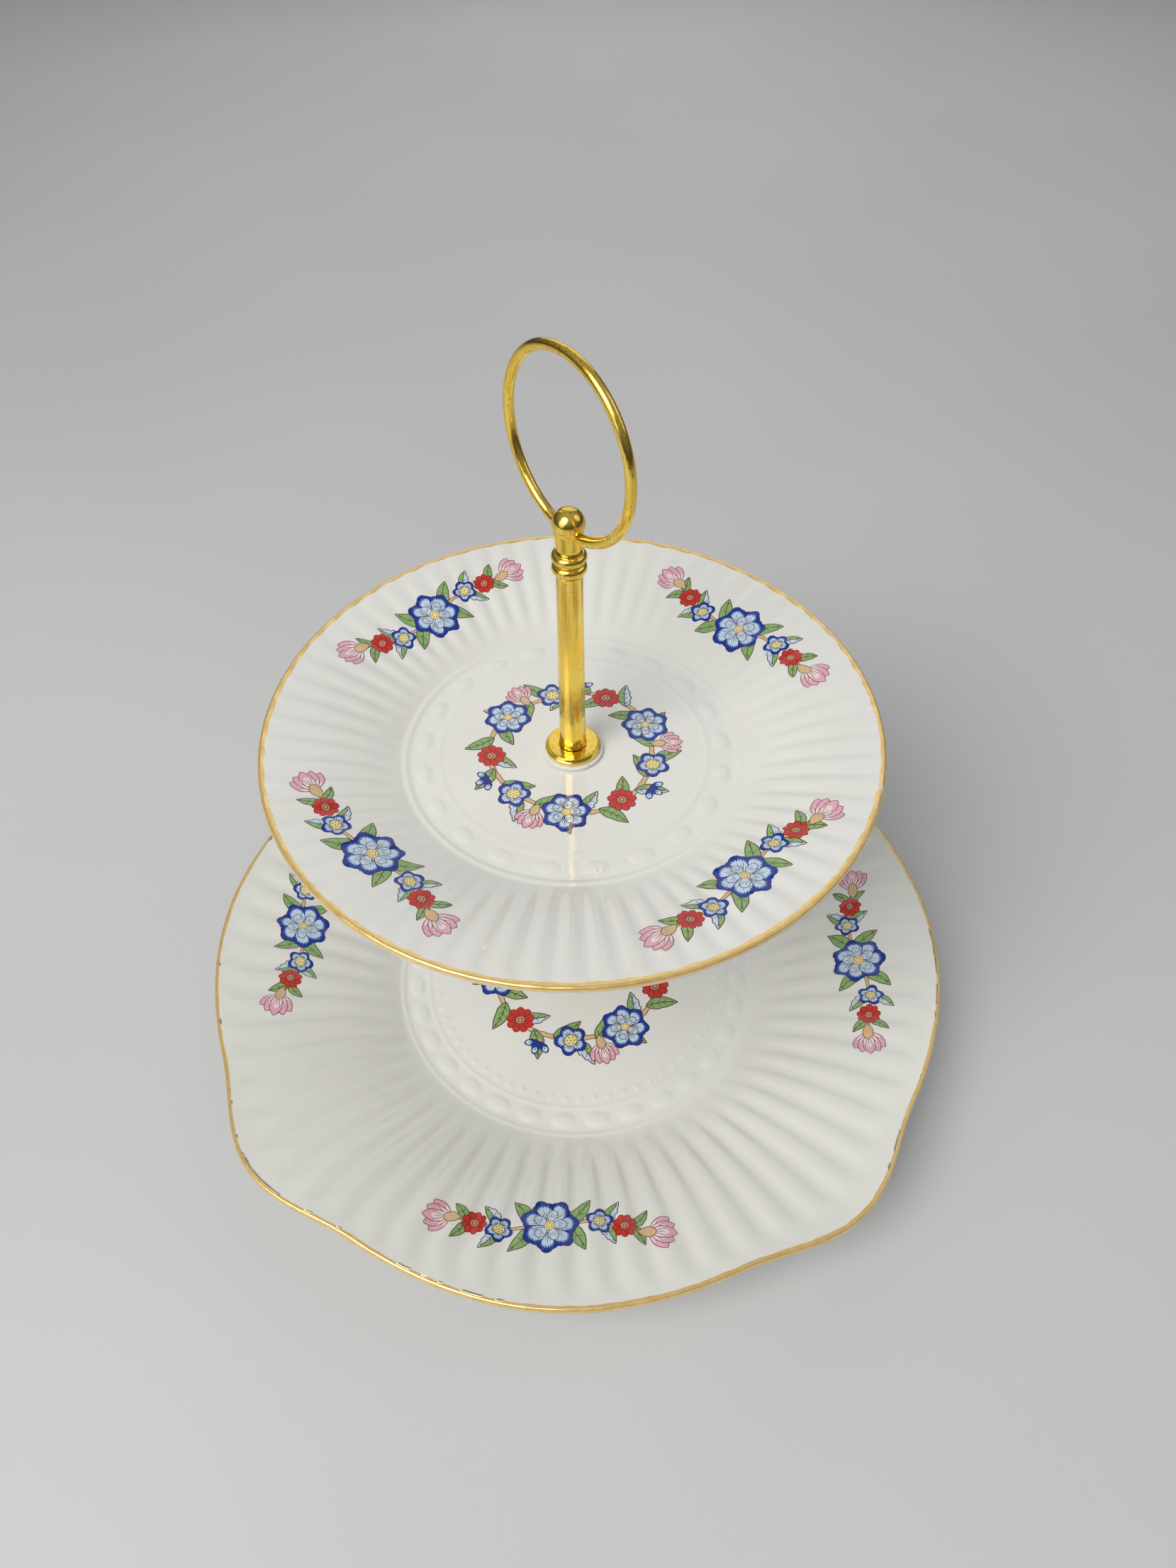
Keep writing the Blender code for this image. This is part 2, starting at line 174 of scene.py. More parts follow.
class Surface:
    """A Principled material and the nodes that pattern it."""

    def __init__(self, name, colour, **values):
        self.material = bpy.data.materials.new(name)
        self.material.use_nodes = True
        self.nodes = self.material.node_tree.nodes
        self.links = self.material.node_tree.links
        self.shader = self.nodes["Principled BSDF"]
        self.shader.inputs["Base Color"].default_value = (*colour, 1)
        for socket, value in values.items():
            self.shader.inputs[socket.replace("_", " ")].default_value = value
        self.place = self.nodes.new("ShaderNodeTexCoord").outputs["Object"]

    def stretched(self, x, y, z):
        """Object coordinates scaled along each axis."""
        node = self.nodes.new("ShaderNodeMapping")
        node.inputs["Scale"].default_value = (x, y, z)
        self.links.new(self.place, node.inputs["Vector"])
        return node.outputs["Vector"]

    def noise(self, scale, detail, roughness=0.5, place=None):
        """Clouds from 0 to 1; a larger scale makes them smaller."""
        node = self.nodes.new("ShaderNodeTexNoise")
        node.inputs["Scale"].default_value = scale
        node.inputs["Detail"].default_value = detail
        node.inputs["Roughness"].default_value = roughness
        self.links.new(place or self.place, node.inputs["Vector"])
        return node.outputs["Fac"]

    def cells(self, scale):
        """Distance from the nearest of many scattered points."""
        node = self.nodes.new("ShaderNodeTexVoronoi")
        node.inputs["Scale"].default_value = scale
        self.links.new(self.place, node.inputs["Vector"])
        return node.outputs["Distance"]

    def ranged(self, value, start, end, to_start=0.0, to_end=1.0):
        """value from start to end becomes to_start to to_end, clamped."""
        node = self.nodes.new("ShaderNodeMapRange")
        self.links.new(value, node.inputs["Value"])
        for socket, number in zip(("From Min", "From Max", "To Min", "To Max"),
                                  (start, end, to_start, to_end)):
            node.inputs[socket].default_value = number
        return node.outputs["Result"]

    def product(self, a, b):
        """One value times the other."""
        node = self.nodes.new("ShaderNodeMath")
        node.operation = "MULTIPLY"
        self.links.new(a, node.inputs[0])
        self.links.new(b, node.inputs[1])
        return node.outputs["Value"]

    def blend(self, share, first, second):
        """A colour between first and second, which are colours or sockets."""
        node = self.nodes.new("ShaderNodeMix")
        node.data_type = "RGBA"
        self.links.new(share, node.inputs["Factor"])
        for socket, colour in zip((node.inputs[6], node.inputs[7]), (first, second)):
            if isinstance(colour, bpy.types.NodeSocket):
                self.links.new(colour, socket)
            else:
                socket.default_value = (*colour, 1)
        return node.outputs[2]

    def bump(self, *layers):
        """Raises the surface by each (value, metres) layer."""
        normal = None
        for value, distance in layers:
            node = self.nodes.new("ShaderNodeBump")
            node.inputs["Strength"].default_value = 1.0
            node.inputs["Distance"].default_value = distance
            self.links.new(value, node.inputs["Height"])
            if normal is not None:
                self.links.new(normal, node.inputs["Normal"])
            normal = node.outputs["Normal"]
        self.links.new(normal, self.shader.inputs["Normal"])

    def drive(self, socket, value):
        """Lets a value set one of the shader's sockets."""
        self.links.new(value, self.shader.inputs[socket])


CHINA = (0.83, 0.825, 0.78)
GOLD = (0.90, 0.60, 0.16)
GILT = (1.0, 0.69, 0.12)


def glazed(s):
    """The clear glaze over china and prints alike, a little uneven."""
    s.drive("Roughness", s.ranged(s.noise(90, 2), 0.3, 0.7, 0.05, 0.10))
    s.bump((s.noise(55, 1), 0.00018), (s.noise(130, 1), 0.00004), (s.noise(300, 2), 0.000012))


def china_glaze():
    """White bone china under a clear glaze, with faint clouds and a few dark specks."""
    s = Surface("china_glaze", CHINA, Roughness=0.08, IOR=1.5)
    clouds = s.ranged(s.noise(22, 3), 0.3, 0.7)
    colour = s.blend(clouds, [c * 0.97 for c in CHINA], [c * 1.02 for c in CHINA])
    speck = s.ranged(s.cells(75), 0.010, 0.018, 0.6, 0.0)
    s.drive("Base Color", s.blend(speck, colour, (0.25, 0.21, 0.16)))
    glazed(s)
    return s.material


def bare_china():
    """The dry foot, where the glaze was wiped off."""
    s = Surface("bare_china", (0.66, 0.63, 0.56), Roughness=0.75)
    dirt = s.ranged(s.noise(160, 4), 0.42, 0.7)
    s.drive("Base Color", s.blend(dirt, (0.68, 0.65, 0.58), (0.42, 0.38, 0.32)))
    s.bump((s.noise(2200, 3), 0.00004))
    return s.material


def rim_gold():
    """Gold painted on the rim, with worn nicks that show the china."""
    s = Surface("rim_gold", GOLD, Metallic=0.65, Roughness=0.26)
    brushed = s.noise(420, 3)
    tint = s.blend(s.ranged(brushed, 0.3, 0.7), (0.93, 0.62, 0.22), (1.0, 0.75, 0.34))
    worn = s.product(s.ranged(s.noise(38, 2), 0.66, 0.71), s.ranged(s.noise(900, 3), 0.50, 0.56))
    s.drive("Base Color", s.blend(worn, tint, (0.80, 0.78, 0.72)))
    s.drive("Metallic", s.ranged(worn, 0.0, 1.0, 0.65, 0.1))
    s.drive("Roughness", s.ranged(s.noise(150, 3), 0.3, 0.7, 0.18, 0.36))
    s.bump((s.noise(700, 3), 0.00003))
    return s.material


def gilt_metal(name, drawn_height, streak_height, mottle_height):
    """Bright gilt plating with small pits and with streaks along the post's axis: the streaks are
    real drawn marks in the bump and roughness, and where they darken the colour they are painted
    dark reflections.
    """
    s = Surface(name, GILT, Metallic=1.0, Roughness=0.14)
    streaks_and_painted_reflection = s.noise(1, 4, 0.7, s.stretched(1300, 1300, 45))
    drawn = s.noise(1, 2, 0.5, s.stretched(620, 620, 22))
    mottle = s.noise(240, 4)
    pits = s.ranged(s.cells(900), 0.10, 0.22, 1.0, 0.0)
    pits = s.product(pits, s.ranged(s.noise(120, 2), 0.50, 0.60))
    tint = s.blend(s.ranged(mottle, 0.3, 0.7), (1.0, 0.64, 0.09), (1.0, 0.75, 0.16))
    # painted reflection: the streaks darken the gilt towards dark olive, standing in for dark
    # surroundings mirrored in it, on top of the real drawn streaks
    tint = s.blend(s.ranged(streaks_and_painted_reflection, 0.52, 0.70, 0.0, 0.55), tint, (0.50, 0.30, 0.04))
    s.drive("Base Color", s.blend(pits, tint, (0.22, 0.13, 0.05)))
    s.drive("Roughness", s.ranged(streaks_and_painted_reflection, 0.3, 0.7, 0.08, 0.24))
    s.bump((drawn, drawn_height), (streaks_and_painted_reflection, streak_height), (mottle, mottle_height))
    return s.material


def plated_steel():
    """Dull zinc plating with turned marks."""
    s = Surface("plated_steel", (0.62, 0.60, 0.57), Metallic=1.0, Roughness=0.35)
    grain = s.noise(1, 3, 0.6, s.stretched(300, 300, 2600))
    grey = s.blend(s.ranged(grain, 0.3, 0.7), (0.52, 0.50, 0.47), (0.70, 0.68, 0.65))
    s.drive("Base Color", grey)
    s.drive("Roughness", s.ranged(s.noise(300, 3), 0.3, 0.7, 0.26, 0.45))
    s.bump((grain, 0.00003))
    return s.material


def white_plastic():
    """Soft white washer plastic with a fine grain and dust in it."""
    s = Surface("white_plastic", (0.82, 0.81, 0.77), Roughness=0.45)
    dust = s.ranged(s.noise(900, 4), 0.55, 0.75)
    s.drive("Base Color", s.blend(dust, (0.84, 0.83, 0.80), (0.62, 0.59, 0.54)))
    s.drive("Roughness", s.ranged(s.noise(400, 3), 0.3, 0.7, 0.35, 0.6))
    s.bump((s.noise(1800, 3), 0.00005))
    return s.material


def floor_paint():
    """Plain pale grey, very slightly clouded."""
    s = Surface("floor_paint", (0.66, 0.66, 0.66), Roughness=0.6)
    clouds = s.ranged(s.noise(3, 2), 0.3, 0.7)
    s.drive("Base Color", s.blend(clouds, (0.64, 0.64, 0.64), (0.68, 0.68, 0.68)))
    return s.material


INKS = {
    "deep_blue": linear(25, 50, 145),
    "navy": linear(20, 30, 95),
    "mid_blue": linear(95, 130, 200),
    "pale_blue": linear(200, 220, 240),
    "red": linear(205, 50, 40),
    "dark_red": linear(110, 30, 25),
    "pink": linear(230, 175, 190),
    "pale_pink": linear(245, 220, 222),
    "plum": linear(130, 60, 80),
    "green": linear(140, 180, 110),
    "tan": linear(220, 185, 140),
    "yellow": linear(240, 225, 150),
    "outline": linear(90, 55, 45),
}


def ink(name, colour):
    """A printed colour that shares the plate's glaze."""
    s = Surface("ink_" + name, colour, Roughness=0.08, IOR=1.5)
    glazed(s)
    return s.material


materials = {
    "china": china_glaze(), "bare": bare_china(), "gold": rim_gold(),
    "drawn_gilt": gilt_metal("drawn_gilt", 0.00022, 0.00009, 0.00003),
    "cast_gilt": gilt_metal("cast_gilt", 0.00002, 0.00002, 0.000025),
    "steel": plated_steel(), "plastic": white_plastic(),
}
ink_names = list(INKS)
ink_materials = [ink(name, colour) for name, colour in INKS.items()]


# ---------------------------------------------------------------------------
# Plates

HOLE_RADIUS = 3.4
WELL_THICKNESS = 3.6
LIP_RADIUS = 1.15                # the rim's rounded edge
LIP_SQUARENESS = 0.72            # 1 makes the edge round, less makes it squarer
FLUTES = 64
CREST_SHARPNESS = 1.2            # above 1 the flutes' crests are wider than their valleys
UNDER_SHARE = 0.45               # how much of the flutes' depth the underside repeats
FOOT_WIDTH = 3.0
PEARL_SIZE = (1.3, 1.3, 0.28)    # half length, half width and height of each pearl
LOBE_HALF_TURN = 27              # half of the angle that a wide lobe takes up, in degrees
LOBE_RISE = 1.5                  # how far a lobe stands out from the rim's circle
CORNER_RISE = 7.1                # how far a corner does
AROUND = 768                     # points in each ring of a plate's mesh, 12 for each flute
RELIEF_STEP = 0.65               # between the mesh's rings in the relief round the well
WALL_STEP = 2                    # between its rings up the wall
UNDER_ROWS = 18                  # its rings along the wall's underside
CHINA_SLOT, GOLD_SLOT, BARE_SLOT = 0, 1, 2


class Plate:
    """The surface of one plate, by its distance from the axis and its direction."""

    def __init__(self, node, pad, well, rim, foot, depth, valley, beads, bead_radius,
                 bead_size, rings, pearls=0, pearl_radius=0.0, lobed=False, flat_rim=0.0):
        self.node = node
        self.well_top = low(pad) - GAP
        self.rise = high(node) - self.well_top
        self.foot_bottom = low(node)
        self.well = well
        self.rim = rim
        self.foot = foot
        self.depth = depth
        self.valley = math.radians(valley)
        self.beads = beads
        self.bead_radius = bead_radius
        self.bead_size = bead_size
        self.rings = rings
        self.pearls = pearls
        self.pearl_radius = pearl_radius
        self.lobed = lobed
        self.flat_rim = flat_rim

    def share(self, radius):
        """How far up the wall a radius is: 0 at the well, 1 at the rim."""
        return (radius - self.well) / (self.rim - self.well)

    def wall(self, radius):
        """The smooth wall's height above the well."""
        share = self.share(radius)
        share = 0.5 * (share + np.sqrt(share ** 2 + 0.0012))
        return self.rise * (share + 0.11 * np.sin(math.pi * np.minimum(share, 1)))

    def outline(self, angle):
        """The rim's radius in each direction: four wide lobes and four narrow corners."""
        if not self.lobed:
            return self.rim + 0 * angle
        half, pitch = math.radians(LOBE_HALF_TURN), math.radians(90)
        away = np.abs((angle + pitch / 2) % pitch - pitch / 2)
        lobe = LOBE_RISE * np.cos(math.pi / 2 * np.minimum(away / half, 1)) ** 2
        corner = np.clip((away - half) / (pitch / 2 - half), 0, 1)
        return self.rim + lobe + CORNER_RISE * np.sin(math.pi / 2 * corner) ** 2

    def plan(self, radius, angle):
        """Where a radius of the round plate lies on the lobed one."""
        share = np.maximum(self.share(radius), 0)
        return radius + share ** 2 * (self.outline(angle) - self.rim)

    def round_radius(self, distance, angle):
        """The reverse of plan, found in a few rounds."""
        radius = distance
        for _ in range(6):
            share = np.maximum(self.share(radius), 0)
            radius = distance - share ** 2 * (self.outline(angle) - self.rim)
        return radius

    def flutes(self, radius, angle):
        """Height of the ribs: rounded at the well, running up the wall."""
        place = ((angle - self.valley) * FLUTES / TAU) % 1 * 2 - 1
        crest = 0.5 - (0.5 - 0.5 * np.cos(math.pi * place)) ** CREST_SHARPNESS
        start = self.well + 0.6 + 1.6 * place ** 2
        rise = smooth_step((radius - start) / (0.15 * self.rim))
        share = self.share(radius)
        if self.flat_rim:
            corner = (self.outline(angle) - self.rim) / CORNER_RISE
            end = self.rim - self.flat_rim - 2.0 * corner
            fade = smooth_step((end - radius) / 9 + 0.5)
        else:
            fade = 1 - 0.40 * smooth_step(share * 2 - 1) - 0.48 * smooth_step(share * 8 - 7)
        return self.depth * crest * rise * fade

    def relief(self, radius, angle):
        """The raised rings, the oval beads and the pearls round the well."""
        height = 0.0
        for ring_radius, width, rise in self.rings:
            height = height + rise * np.exp(-((radius - ring_radius) / width) ** 2)
        for count, centre, (long, wide, rise) in (
                (self.beads, self.bead_radius, self.bead_size),
                (self.pearls, self.pearl_radius, PEARL_SIZE)):
            if not count:
                continue
            turn = TAU / count
            along = ((angle - math.pi) / turn + 0.5) % 1 - 0.5
            along = along * turn * centre / long
            across = (radius - centre) / wide
            bead = np.clip(1 - along ** 2 - across ** 2, 0, 1)
            height = height + rise * smooth_step(bead) ** 0.8
        return height

    def height(self, radius, angle):
        """Height of the upper surface, by radius on the round plate."""
        return (self.well_top + self.wall(radius) + self.flutes(radius, angle)
                + self.relief(radius, angle))

    def height_at(self, x, y):
        """Height of the upper surface over a point seen from above."""
        angle = np.arctan2(y, x)
        return self.height(self.round_radius(np.hypot(x, y), angle), angle)

    def lean(self, radius):
        """The wall's angle from level."""
        return math.atan((self.wall(radius + 0.1) - self.wall(radius - 0.1)) / 0.2)

    def top_rows(self, angle, gold_width, gold_start):
        """The upper surface, from the hole to the lip, with the gold from gold_start."""
        fixed = self.rim - 2 * gold_width - 2.0
        lip_start = self.rim - LIP_RADIUS
        relief_start = min([r for r, _, _ in self.rings] + [self.pearl_radius or self.well]) - 3
        relief_end = self.well + 7
        wall_rows = int((fixed - relief_end) / WALL_STEP)
        bands = [(radius, CHINA_SLOT) for radius in (
            *np.linspace(HOLE_RADIUS + 0.25, relief_start, 7)[:-1],
            *np.arange(relief_start, relief_end, RELIEF_STEP),
            *np.linspace(relief_end, fixed, wall_rows))]
        bands += [(fixed + share * (gold_start - fixed), CHINA_SLOT)
                  for share in np.linspace(0, 1, 6)[1:-1]]
        bands += [(gold_start + share * (lip_start - gold_start), GOLD_SLOT)
                  for share in np.linspace(0, 1, 6)]
        return [(HOLE_RADIUS, self.well_top - 0.25, CHINA_SLOT)] + [
            (self.plan(radius, angle), self.height(radius, angle), slot) for radius, slot in bands]

    def lip_rows(self, angle, gold_reach):
        """The rounded lip, whose axis leans with the wall."""
        start = self.rim - LIP_RADIUS
        lean = self.lean(start)
        centre_r = self.plan(start, angle) + LIP_RADIUS * math.sin(lean)
        centre_z = self.height(start, angle) - LIP_RADIUS * math.cos(lean)
        first, last = lean + math.pi / 2, lean - math.pi / 2
        gold_end = lean - gold_reach + ripple(9, (angle, 4, 0.05), (angle, 17, 0.05),
                                              (angle, 43, 0.04))
        turns = [(first + share * (gold_end - first), GOLD_SLOT)
                 for share in np.linspace(0, 1, 9)[1:-1]]
        turns += [(gold_end + share * (last - gold_end), CHINA_SLOT)
                  for share in np.linspace(0, 1, 4)]
        rows = []
        for turn, slot in turns:
            across = LIP_RADIUS * np.abs(np.cos(turn - lean)) ** LIP_SQUARENESS
            up = np.sin(turn - lean)
            up = LIP_RADIUS * np.sign(up) * np.abs(up) ** LIP_SQUARENESS
            rows.append((centre_r + across * math.cos(lean) - up * math.sin(lean),
                         centre_z + across * math.sin(lean) + up * math.cos(lean), slot))
        return rows

    def under_rows(self, angle):
        """The underside, parallel to the wall, and the foot ring."""
        rows = []
        foot_outer = self.foot + FOOT_WIDTH
        for radius in np.linspace(self.rim - LIP_RADIUS - 1.5, foot_outer + 3.5, UNDER_ROWS):
            share = np.clip(self.share(radius), 0, 1)
            thickness = WELL_THICKNESS + share * (2 * LIP_RADIUS - WELL_THICKNESS)
            lean = self.lean(radius)
            height = self.well_top + self.wall(radius) - thickness * math.cos(lean)
            rows.append((self.plan(radius, angle) + thickness * math.sin(lean),
                         height + UNDER_SHARE * self.flutes(radius, angle), CHINA_SLOT))
        under = self.well_top - WELL_THICKNESS
        foot = eased([(foot_outer + 2.0, under), (foot_outer, under),
                      (foot_outer - 0.8, self.foot_bottom), (self.foot, self.foot_bottom),
                      (self.foot - 0.8, under), (HOLE_RADIUS + 10, under),
                      (HOLE_RADIUS + 0.3, under)], 0.7, steps=2)
        for radius, height in foot:
            dry = height < self.foot_bottom + 0.25
            rows.append((radius, height, BARE_SLOT if dry else CHINA_SLOT))
        return rows + [(HOLE_RADIUS, under + 0.3, CHINA_SLOT)]

    def build(self, name, gold_width, gold_wave, gold_reach):
        """gold_reach is how far the gold goes round the lip: 0 ends it at the outermost line."""
        angle = self.valley + np.linspace(0, TAU, AROUND, endpoint=False)
        band = (gold_width + gold_wave * np.cos((angle - self.valley) * FLUTES)
                + ripple(5, (angle, 3, 0.10), (angle, 11, 0.10), (angle, 29, 0.07),
                         (angle, 71, 0.06), (angle, 137, 0.05)))
        rows = (self.top_rows(angle, gold_width, self.rim - band)
                + self.lip_rows(angle, gold_reach) + self.under_rows(angle))[::-1]
        radius, height = (np.array([row[i] + 0 * angle for row in rows]) for i in (0, 1))
        rings = np.stack([radius * np.cos(angle), radius * np.sin(angle), height], -1)
        slots = np.roll([slot for _, _, slot in rows], -1)
        plate = grid_object(name, rings, slots, [materials["china"], materials["gold"],
                                                 materials["bare"]])
        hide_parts(self.node)
        return plate


upper = Plate("upper_plate", "upper_top_pad", well=51.0, rim=92.0, foot=45.0, depth=0.56,
              valley=1.575, beads=21, bead_radius=45.8, bead_size=(4.4, 2.6, 0.42),
              rings=((51.0, 0.8, 0.40), (41.0, 0.7, 0.18)))
lower = Plate("lower_plate", "lower_top_pad", well=68.0, rim=131.9, foot=62.0, depth=1.05,
              valley=-1.225, beads=32, bead_radius=62.5, bead_size=(5.0, 3.1, 0.58),
              rings=((67.9, 0.5, 0.40), (57.9, 0.5, 0.22)), pearls=64, pearl_radius=54.3,
              lobed=True, flat_rim=6.0)

BLISTER = (11.3, -45.8)          # where a small ring stands in the upper plate's glaze
BLISTER_RADIUS = 1.0
BLISTER_WIDTH = 0.20
BLISTER_HEIGHT = 0.24
BLISTER_STEPS = 40


def build_blister():
    """The ring that a burst bubble left in the glaze."""
    around = np.linspace(0, TAU, 12, endpoint=False)
    rings = []
    for turn in np.linspace(0, TAU, BLISTER_STEPS, endpoint=False):
        reach = BLISTER_RADIUS + BLISTER_WIDTH * np.cos(around)
        x = BLISTER[0] + reach * math.cos(turn)
        y = BLISTER[1] + reach * math.sin(turn)
        z = upper.height_at(x, y) + BLISTER_HEIGHT * np.sin(around)
        rings.append(np.stack([x, y, z], -1))
    blister = grid_object("glaze_blister", np.array(rings), np.zeros(BLISTER_STEPS, int),
                          [materials["china"]])
    return blister


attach(build_blister(), "upper_plate")
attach(upper.build("upper_china_plate", 1.75, 0.12, 0.10), "upper_plate")
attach(lower.build("lower_china_plate", 1.25, 0.0, 0.50), "lower_plate")


# ---------------------------------------------------------------------------
# Post

STUD_HOLE = 2.3
DISC_RADIUS = 8.35
PAD_RADIUS = 9.25
BASE_PAD_RADIUS = 9.0
COLUMN_TOP_RADIUS = 3.55
COLUMN_LOW_RADIUS = 3.9
COLUMN_FLARE_RADIUS = 4.15
COLUMN_STEPS = 160               # points round a column
COLUMN_ROW = 0.6                 # the longest step along it
RIPPLE_HEIGHT = 0.028
LUMP_HEIGHT = 0.09
LUMP_REACH = 5                   # how high above the foot the lumps fade


def column_wobble(seed):
    """The drawn tube's lengthwise ripples, and its lumpy plating at the foot."""
    def wobble(radius, height, angle):
        outside = radius > COLUMN_TOP_RADIUS - 0.3
        foot = np.exp(-(height - height.min()) / LUMP_REACH)
        along = ripple(seed, (angle, 5, 0.4), (angle * 9 + height * 0.021, 1, 0.3),
                       (angle * 14 - height * 0.05, 1, 0.3), (angle * 23 + height * 0.11, 1, 0.2))
        lumps = ripple(seed + 1, (angle * 6 + height * 1.1, 1, 0.4),
                       (angle * 9 - height * 1.7, 1, 0.4), (angle * 17 + height * 3.1, 1, 0.3))
        return outside * (RIPPLE_HEIGHT * along + LUMP_HEIGHT * foot * lumps)
    return wobble


def build_column(name, node, seed):
    """A slightly tapered tube that flares at its foot."""
    bottom, top = low(node), high(node)
    outline = eased([(STUD_HOLE, top - 0.6), (STUD_HOLE, top), (COLUMN_TOP_RADIUS, top),
                     (COLUMN_LOW_RADIUS, bottom + 1.8), (COLUMN_FLARE_RADIUS, bottom + 0.5),
                     (COLUMN_FLARE_RADIUS, bottom), (STUD_HOLE, bottom),
                     (STUD_HOLE, bottom + 0.6)], 0.25)
    outline = subdivided(outline, COLUMN_ROW)
    column = turned(name, outline, [materials["drawn_gilt"]], COLUMN_STEPS, column_wobble(seed))
    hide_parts(node)
    return column


def build_disc(name, node, upright=True):
    """Gilt disc with a stepped, rounded edge."""
    bottom, top = low(node), high(node)
    outline = eased([(STUD_HOLE, bottom + 0.3), (STUD_HOLE, top), (DISC_RADIUS - 0.75, top),
                     (DISC_RADIUS - 0.3, top - 0.75), (DISC_RADIUS, top - 0.9),
                     (DISC_RADIUS, bottom), (STUD_HOLE, bottom), (STUD_HOLE, bottom + 0.3)], 0.22)
    if not upright:
        outline[:, 1] = bottom + top - outline[:, 1]
        outline = outline[::-1]
    disc = turned(name, outline[:-1], [materials["cast_gilt"]], 128)
    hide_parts(node)
    return disc


def build_pad(name, node, seed, radius):
    """Punched plastic washer with a slightly ragged rim."""
    bottom, top = low(node), high(node)

    def ragged(r, z, angle):
        return (r > radius - 1) * ripple(seed, (angle, 3, 0.03), (angle, 7, 0.02),
                                         (angle * 31 + z * 2, 1, 0.008))

    outline = eased([(STUD_HOLE, bottom + 0.3), (STUD_HOLE, top), (radius - 0.05, top),
                     (radius, bottom), (STUD_HOLE, bottom), (STUD_HOLE, bottom + 0.3)], 0.3)
    pad = turned(name, outline[:-1], [materials["plastic"]], 256, ragged)
    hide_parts(node)
    return pad


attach(build_column("gilt_upper_column", "upper_column", 21), "handle")
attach(build_column("gilt_lower_column", "lower_column", 31), "post")
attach(build_disc("gilt_top_disc", "upper_top_disc"), "top_disc")
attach(build_disc("gilt_under_disc", "upper_under_disc", upright=False), "post")
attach(build_disc("gilt_lower_disc", "lower_disc"), "post")
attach(build_pad("nylon_top_pad", "upper_top_pad", 41, PAD_RADIUS), "upper_plate")
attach(build_pad("nylon_under_pad", "upper_under_pad", 42, PAD_RADIUS), "post")
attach(build_pad("nylon_lower_pad", "lower_top_pad", 43, PAD_RADIUS), "post")
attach(build_pad("nylon_base_pad", "base_pad", 44, BASE_PAD_RADIUS), "post")

for node in ("base_screw", "base_washer", "joining_stud"):
    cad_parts[node].data.materials.clear()
    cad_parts[node].data.materials.append(materials["steel"])


# ---------------------------------------------------------------------------
# Finial and ring

SPIGOT_RADIUS = 2.0
BALL_RADIUS = 4.4
BEAD_HALF = 1.6                  # half of each bead's height
BEAD_CENTRE = 3.15               # radius of the circle through the beads' middles
NECK_LOW_RADIUS = 3.45
NECK_TOP_RADIUS = 4.0
RING_DIRECTION = -47.5
WIRE_RADIUS = 1.4
RING_GAP = 5.5                   # half of the angle left open inside the ball
RING_STEPS = 300


def arc(centre_radius, centre_height, radius, start, end, steps):
    """(radius, height) points along part of a circle, from start to end degrees."""
    return [(centre_radius + radius * math.cos(math.radians(turn)),
             centre_height + radius * math.sin(math.radians(turn)))
            for turn in np.linspace(start, end, steps)]


def build_finial():
    """Two beads, a waisted neck and the ball that holds the ring, on a spigot."""
    seat = high("upper_column") + GAP
    ball = high("finial") - BALL_RADIUS
    beads = (seat + BEAD_HALF, seat + 3 * BEAD_HALF + 0.15)
    neck_turn = -math.degrees(math.acos(NECK_TOP_RADIUS / BALL_RADIUS))
    outline = arc(0, ball, BALL_RADIUS, 89.0, neck_turn, 30)
    outline += [(NECK_TOP_RADIUS - 0.08, outline[-1][1] - 0.5), (3.72, ball - 4.6),
                (3.5, ball - 6.4), (NECK_LOW_RADIUS, beads[1] + BEAD_HALF + 0.1)]
    for middle in beads[::-1]:
        outline += arc(BEAD_CENTRE, middle, BEAD_HALF, 84, -84, 17)
    outline += [(SPIGOT_RADIUS + 0.1, seat), (SPIGOT_RADIUS, seat - 0.1),
                (SPIGOT_RADIUS, low("finial") + 0.3), (SPIGOT_RADIUS - 0.3, low("finial")),
                (0.3, low("finial"))]

    def wobble(radius, height, angle):
        outside = (radius > 3.2) * (height < ball)
        return 0.012 * outside * ripple(61, (angle, 3, 0.5), (angle * 7 + height * 1.3, 1, 0.3),
                                        (angle * 13 - height * 2.1, 1, 0.3))

    finial = turned("gilt_ball_finial", np.array(outline), [materials["cast_gilt"]], 96, wobble,
                    closed=False)
    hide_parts("finial")
    return finial


def build_ring():
    """The wire ring, with its ends inside the ball."""
    height = high("ring_handle")
    radius = (height - low("ring_handle")) / 2 - WIRE_RADIUS
    centre = height - WIRE_RADIUS - radius
    outward = np.array(polar(1, RING_DIRECTION))
    up = np.array([0.0, 0.0, 1.0])
    side = np.cross(outward, up)
    around = np.linspace(0, TAU, 28, endpoint=False)[:, None]
    rings = []
    for turn in np.radians(np.linspace(RING_GAP, 360 - RING_GAP, RING_STEPS)):
        away = outward * math.sin(turn) - up * math.cos(turn)
        bumps = ripple(71, (around * 2 + turn * 9, 1, 0.4), (around * 3 - turn * 31, 1, 0.3),
                       (around + turn * 77, 1, 0.3))
        wire = WIRE_RADIUS * (1 + 0.010 * bumps)
        section = wire * (away * np.cos(around) + side * np.sin(around))
        rings.append(up * centre + away * radius + section)
    ring = grid_object("gilt_ring_handle", np.array(rings), np.zeros(RING_STEPS - 1, int),
                       [materials["cast_gilt"]], closed=False)
    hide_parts("ring_handle")
    return ring


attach(build_finial(), "handle")
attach(build_ring(), "handle")


# ---------------------------------------------------------------------------
# Printed sprays: flat artwork of inked shapes in mm, draped over the glaze

PRINT_LIFT = 0.045               # height of the prints above the china
PRINT_HOLE = 5.0                 # radius left clear of print round the hole, under the pads
WREATH_RADIUS = 20.0             # of the wreath as drawn
PATH_STEP = 0.45                 # between the points of a drawn curve


def unit(vector):
    """The same direction with length 1."""
    return vector / max(np.linalg.norm(vector), 1e-9)


def left_of(vector):
    """Each vector turned a quarter to its left."""
    return np.stack([-vector[..., 1], vector[..., 0]], -1)


